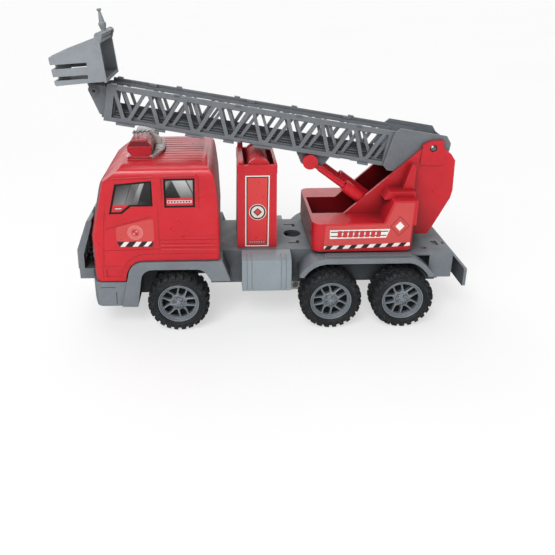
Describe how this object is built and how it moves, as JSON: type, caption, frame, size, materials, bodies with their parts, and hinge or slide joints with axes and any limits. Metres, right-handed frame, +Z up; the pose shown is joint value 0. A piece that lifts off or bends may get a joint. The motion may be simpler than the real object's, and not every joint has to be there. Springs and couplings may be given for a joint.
{
  "type": "toy ladder fire engine",
  "caption": "Toy fire engine with a rotating turret, raising and extending lattice ladder, tilting rescue basket and free-rolling wheels.",
  "frame": {"origin": "centre of the outline box, on the ground the tyres stand on", "axes": "cab towards -X and rear towards +X, +Y the engine's right-hand side, +Z up"},
  "size_m": [0.3068, 0.1096, 0.2372],
  "materials": {
    "red_body": "moulded red plastic",
    "grey_frame": "moulded mid-grey plastic",
    "grey_box": "moulded pale grey plastic",
    "grey_ladder": "moulded dark grey plastic",
    "grey_rim": "moulded grey plastic",
    "tyre_black": "soft black plastic tyre",
    "lens_red": "clear red plastic",
    "lens_clear": "clear frosted plastic",
    "white_plastic": "moulded white plastic",
    "steel": "plain steel",
    "motor_plastic": "natural white plastic"
  },
  "bodies": {
    "chassis": {"chassis_frame": "grey_frame", "underside_cover": "grey_frame", "cover_screws": "steel", "body_screws": "steel", "front_guard": "grey_frame", "tail_board": "grey_frame", "toolbox_left": "grey_box", "toolbox_right": "grey_box", "cab_shell": "red_body", "beacon_base": "white_plastic", "beacon_lens_left": "lens_red", "beacon_lens_right": "lens_clear", "equipment_tower": "red_body", "motor_housing_left": "motor_plastic", "motor_housing_right": "motor_plastic", "motor_screws": "steel", "motor_idler_pin": "steel"},
    "front_axle_set": {"axle_front": "steel", "rim_front_left": "grey_rim", "rim_front_right": "grey_rim", "tyre_front_left": "tyre_black", "tyre_front_right": "tyre_black"},
    "mid_axle_set": {"axle_mid": "steel", "rim_mid_left": "grey_rim", "rim_mid_right": "grey_rim", "tyre_mid_left": "tyre_black", "tyre_mid_right": "tyre_black", "motor_axle_gear": "motor_plastic"},
    "rear_axle_set": {"axle_rear": "steel", "rim_rear_left": "grey_rim", "rim_rear_right": "grey_rim", "tyre_rear_left": "tyre_black", "tyre_rear_right": "tyre_black"},
    "idler": {"motor_idler_gear": "motor_plastic"},
    "flywheel": {"motor_flywheel": "steel"},
    "turret": {"turret_body": "red_body", "turret_base": "grey_frame", "turret_screws": "steel", "turret_washer": "grey_frame", "turret_pivot_screw": "steel", "cylinder_cross_pin": "steel"},
    "boom": {"ladder_base": "grey_ladder", "outer_ladder": "grey_ladder", "ladder_pivot_screws": "steel"},
    "inner_ladder": {"inner_ladder": "grey_ladder"},
    "basket": {"basket": "grey_ladder", "basket_hinge_pin": "grey_ladder"},
    "cannon": {"water_cannon": "grey_ladder"},
    "barrel_left": {"cylinder_barrel_left": "red_body"},
    "barrel_right": {"cylinder_barrel_right": "red_body"},
    "rod_left": {"cylinder_rod_left": "red_body"},
    "rod_right": {"cylinder_rod_right": "red_body"}
  },
  "joints": [
    {"name": "front_axle_spin", "type": "hinge", "parent": "chassis", "child": "front_axle_set", "pos_m": [-0.06758, 0, 0.0235], "axis": [0, 1, 0], "continuous": true},
    {"name": "mid_axle_spin", "type": "hinge", "parent": "chassis", "child": "mid_axle_set", "pos_m": [0.04872, 0, 0.0235], "axis": [0, 1, 0], "continuous": true},
    {"name": "rear_axle_spin", "type": "hinge", "parent": "chassis", "child": "rear_axle_set", "pos_m": [0.10342, 0, 0.0235], "axis": [0, 1, 0], "continuous": true},
    {"name": "idler_spin", "type": "hinge", "parent": "chassis", "child": "idler", "pos_m": [0.03812, 0, 0.03067], "axis": [0, 1, 0], "continuous": true},
    {"name": "flywheel_spin", "type": "hinge", "parent": "chassis", "child": "flywheel", "pos_m": [0.02692, 0, 0.03687], "axis": [0, 1, 0], "continuous": true},
    {"name": "turret_rotate", "type": "hinge", "parent": "chassis", "child": "turret", "pos_m": [0.07942, 0, 0.0593], "axis": [0, 0, 1], "continuous": true},
    {"name": "ladder_raise", "type": "hinge", "parent": "turret", "child": "boom", "pos_m": [0.12622, 0, 0.134], "axis": [0, 1, 0], "range_deg": [-1, 28]},
    {"name": "ladder_extend", "type": "slide", "parent": "boom", "child": "inner_ladder", "axis": [-0.9836, 0, 0.1805], "range_m": [0, 0.12]},
    {"name": "basket_tilt", "type": "hinge", "parent": "inner_ladder", "child": "basket", "pos_m": [-0.12584, 0, 0.17986], "axis": [0, -1, 0], "range_deg": [-5, 95]},
    {"name": "cannon_tilt", "type": "hinge", "parent": "basket", "child": "cannon", "pos_m": [-0.11738, 0, 0.2196], "axis": [0, 1, 0], "range_deg": [-45, 45]},
    {"name": "barrel_left_tilt", "type": "hinge", "parent": "turret", "child": "barrel_left", "pos_m": [0.09384, -0.0132, 0.07896], "axis": [0, 1, 0], "range_deg": [-1, 22]},
    {"name": "rod_left_tilt", "type": "hinge", "parent": "boom", "child": "rod_left", "pos_m": [0.03459, -0.0132, 0.12332], "axis": [0, 1, 0], "range_deg": [-6.5, 0.5]},
    {"name": "barrel_right_tilt", "type": "hinge", "parent": "turret", "child": "barrel_right", "pos_m": [0.09384, 0.0132, 0.07896], "axis": [0, 1, 0], "range_deg": [-1, 22]},
    {"name": "rod_right_tilt", "type": "hinge", "parent": "boom", "child": "rod_right", "pos_m": [0.03459, 0.0132, 0.12332], "axis": [0, 1, 0], "range_deg": [-6.5, 0.5]}
  ],
  "couplings": [
    {"joint": "idler_spin", "follows": "mid_axle_spin", "ratio": -3},
    {"joint": "flywheel_spin", "follows": "mid_axle_spin", "ratio": 9},
    {"joint": "barrel_left_tilt", "follows": "ladder_raise", "ratio": 0.7825},
    {"joint": "rod_left_tilt", "follows": "ladder_raise", "ratio": -0.2175},
    {"joint": "barrel_right_tilt", "follows": "ladder_raise", "ratio": 0.7825},
    {"joint": "rod_right_tilt", "follows": "ladder_raise", "ratio": -0.2175}
  ]
}
